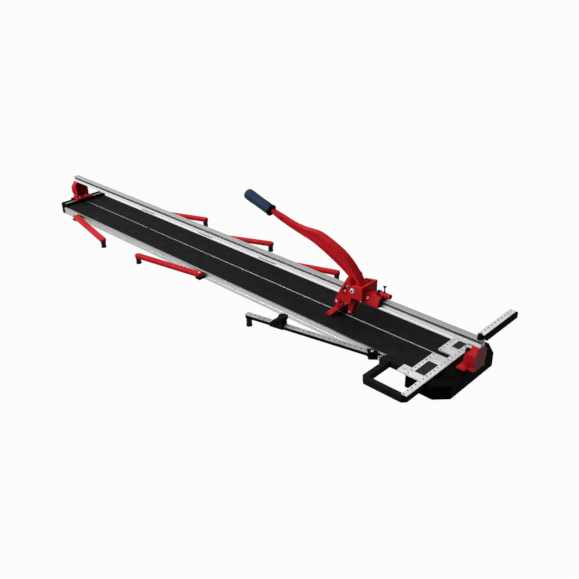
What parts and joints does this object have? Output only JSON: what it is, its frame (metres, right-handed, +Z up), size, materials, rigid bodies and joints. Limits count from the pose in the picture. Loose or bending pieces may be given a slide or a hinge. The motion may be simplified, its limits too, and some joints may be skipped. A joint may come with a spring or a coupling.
{
  "type": "tile cutter",
  "caption": "Rail cutter for large ceramic tiles: padded bed with a breaking ridge, guide rail, carriage with lever and scoring wheel, swinging outriggers, fence and measuring arm.",
  "frame": {"origin": "on the floor under the tongue of the left end casting, 10 mm in from the left end of the bed, midway between front and back", "axes": "+X along the rail towards the carrying loop, +Y to the back, +Z up"},
  "size_m": [2.276, 0.5425, 0.3984],
  "materials": {
    "black_rubber": "black rubber, finely grained",
    "black_paint": "black painted casting, satin",
    "black_plastic": "black moulded plastic",
    "aluminium": "mill-finish aluminium, drawn along its length",
    "red_paint": "glossy red paint",
    "steel": "zinc-plated steel",
    "blue_grip": "navy moulded grip"
  },
  "bodies": {
    "base": {"left_end_casting": "black_paint", "left_stop_strip": "aluminium", "right_base_casting": "black_paint", "front_bed_extrusion": "aluminium", "rear_bed_extrusion": "aluminium", "front_mat": "black_rubber", "rear_mat": "black_rubber", "left_breaking_ridge": "aluminium", "right_breaking_ridge": "aluminium", "ridge_joint": "black_plastic", "left_rail_bracket": "red_paint", "right_rail_bracket": "red_paint", "left_bracket_front_bolt": "steel", "left_bracket_rear_bolt": "steel", "right_bracket_front_bolt": "steel", "right_bracket_rear_bolt": "steel", "guide_rail": "aluminium", "carry_loop": "black_plastic", "fence_plate": "aluminium", "measuring_arm_bracket": "black_paint", "rear_left_arm_bracket": "black_paint", "rear_middle_arm_bracket": "black_paint", "rear_right_arm_bracket": "black_paint", "front_left_arm_bracket": "black_paint", "front_middle_arm_bracket": "black_paint"},
    "rear_left_outrigger": {"rear_left_arm": "red_paint", "rear_left_arm_foot": "black_rubber"},
    "rear_middle_outrigger": {"rear_middle_arm": "red_paint", "rear_middle_arm_foot": "black_rubber"},
    "rear_right_outrigger": {"rear_right_arm": "red_paint", "rear_right_arm_foot": "black_rubber"},
    "front_left_outrigger": {"front_left_arm": "red_paint", "front_left_arm_foot": "black_rubber"},
    "front_middle_outrigger": {"front_middle_arm": "red_paint", "front_middle_arm_foot": "black_rubber"},
    "measuring_outrigger": {"measuring_arm": "aluminium", "measuring_arm_foot": "black_rubber"},
    "measuring_slider": {"measuring_stop": "black_plastic"},
    "measuring_slider_knob": {"measuring_stop_knob": "black_plastic"},
    "sliding_rule": {"fence_rule": "aluminium"},
    "sliding_rule_knob": {"fence_knob": "black_plastic"},
    "swinging_rule": {"rear_rule_arm": "black_plastic", "rear_rule": "aluminium"},
    "swinging_rule_knob": {"rear_rule_knob": "black_plastic"},
    "carriage": {"carriage_body": "red_paint", "carriage_wiper": "black_rubber", "tail_tube": "red_paint", "lever_pivot_bolt": "steel"},
    "thumb_screw": {"tail_thumb_screw": "black_plastic"},
    "front_left_roller": {"front_left_rail_roller": "steel"},
    "front_right_roller": {"front_right_rail_roller": "steel"},
    "rear_left_roller": {"rear_left_rail_roller": "steel"},
    "rear_right_roller": {"rear_right_rail_roller": "steel"},
    "lever": {"lever": "red_paint", "grip": "blue_grip", "grip_collar": "black_plastic", "wheel_axle": "steel", "foot_pin": "steel"},
    "wheel": {"scoring_wheel": "steel"},
    "foot": {"breaking_foot": "red_paint"}
  },
  "joints": [
    {"name": "rear_left_swing", "type": "hinge", "parent": "base", "child": "rear_left_outrigger", "pos_m": [0.2933, 0.133, 0], "axis": [0, 0, 1], "range_deg": [-21.3, 68.7]},
    {"name": "rear_middle_swing", "type": "hinge", "parent": "base", "child": "rear_middle_outrigger", "pos_m": [0.72068, 0.133, 0], "axis": [0, 0, 1], "range_deg": [-23.2, 66.8]},
    {"name": "rear_right_swing", "type": "hinge", "parent": "base", "child": "rear_right_outrigger", "pos_m": [1.10616, 0.133, 0], "axis": [0, 0, 1], "range_deg": [-19.4, 70.6]},
    {"name": "front_left_swing", "type": "hinge", "parent": "base", "child": "front_left_outrigger", "pos_m": [0.11522, -0.133, 0], "axis": [0, 0, 1], "range_deg": [-78.4, 11.6]},
    {"name": "front_middle_swing", "type": "hinge", "parent": "base", "child": "front_middle_outrigger", "pos_m": [1.0255, -0.133, 0], "axis": [0, 0, 1], "range_deg": [-10.4, 79.6]},
    {"name": "measuring_swing", "type": "hinge", "parent": "base", "child": "measuring_outrigger", "pos_m": [1.894, -0.134, 0], "axis": [0, 0, 1], "range_deg": [-9, 78]},
    {"name": "measuring_stop_slide", "type": "slide", "parent": "measuring_outrigger", "child": "measuring_slider", "axis": [-0.9796, -0.2011, 0], "range_m": [-0.3, 0.08]},
    {"name": "measuring_knob_turn", "type": "hinge", "parent": "measuring_slider", "child": "measuring_slider_knob", "pos_m": [1.55801, -0.20297, 0], "axis": [0, 0, 1], "range_deg": [0, 360]},
    {"name": "fence_rule_slide", "type": "slide", "parent": "base", "child": "sliding_rule", "axis": [0, 1, 0], "range_m": [-0.01, 0.075]},
    {"name": "fence_knob_turn", "type": "hinge", "parent": "base", "child": "sliding_rule_knob", "pos_m": [2.1255, 0.066, 0], "axis": [0, 0, 1], "range_deg": [0, 360]},
    {"name": "rear_rule_swing", "type": "hinge", "parent": "base", "child": "swinging_rule", "pos_m": [2.195, 0, 0], "axis": [0, 0, 1], "range_deg": [-180, 0]},
    {"name": "rear_knob_turn", "type": "hinge", "parent": "base", "child": "swinging_rule_knob", "pos_m": [2.195, 0, 0], "axis": [0, 0, 1], "range_deg": [0, 360]},
    {"name": "carriage_slide", "type": "slide", "parent": "base", "child": "carriage", "axis": [1, 0, 0], "range_m": [-1.6, 0.31]},
    {"name": "thumb_screw_turn", "type": "hinge", "parent": "carriage", "child": "thumb_screw", "pos_m": [1.834, 0, 0], "axis": [0, 0, 1], "range_deg": [0, 360]},
    {"name": "front_left_roller_spin", "type": "hinge", "parent": "carriage", "child": "front_left_roller", "pos_m": [1.746, -0.015, 0.158], "axis": [0, 0, 1], "continuous": true},
    {"name": "front_right_roller_spin", "type": "hinge", "parent": "carriage", "child": "front_right_roller", "pos_m": [1.805, -0.015, 0.158], "axis": [0, 0, 1], "continuous": true},
    {"name": "rear_left_roller_spin", "type": "hinge", "parent": "carriage", "child": "rear_left_roller", "pos_m": [1.746, 0.015, 0.158], "axis": [0, 0, 1], "continuous": true},
    {"name": "rear_right_roller_spin", "type": "hinge", "parent": "carriage", "child": "rear_right_roller", "pos_m": [1.805, 0.015, 0.158], "axis": [0, 0, 1], "continuous": true},
    {"name": "lever_hinge", "type": "hinge", "parent": "carriage", "child": "lever", "pos_m": [1.732, 0, 0.179], "axis": [0, 1, 0], "range_deg": [0, 12]},
    {"name": "wheel_spin", "type": "hinge", "parent": "lever", "child": "wheel", "pos_m": [1.696, 0, 0.069], "axis": [0, 1, 0], "continuous": true},
    {"name": "foot_hinge", "type": "hinge", "parent": "lever", "child": "foot", "pos_m": [1.656, 0, 0.109], "axis": [0, 1, 0], "range_deg": [0, 40]}
  ],
  "couplings": [
    {"joint": "front_left_roller_spin", "follows": "carriage_slide", "rad_per_m": 117.65},
    {"joint": "front_right_roller_spin", "follows": "carriage_slide", "rad_per_m": 117.65},
    {"joint": "rear_left_roller_spin", "follows": "carriage_slide", "rad_per_m": -117.65},
    {"joint": "rear_right_roller_spin", "follows": "carriage_slide", "rad_per_m": -117.65}
  ]
}
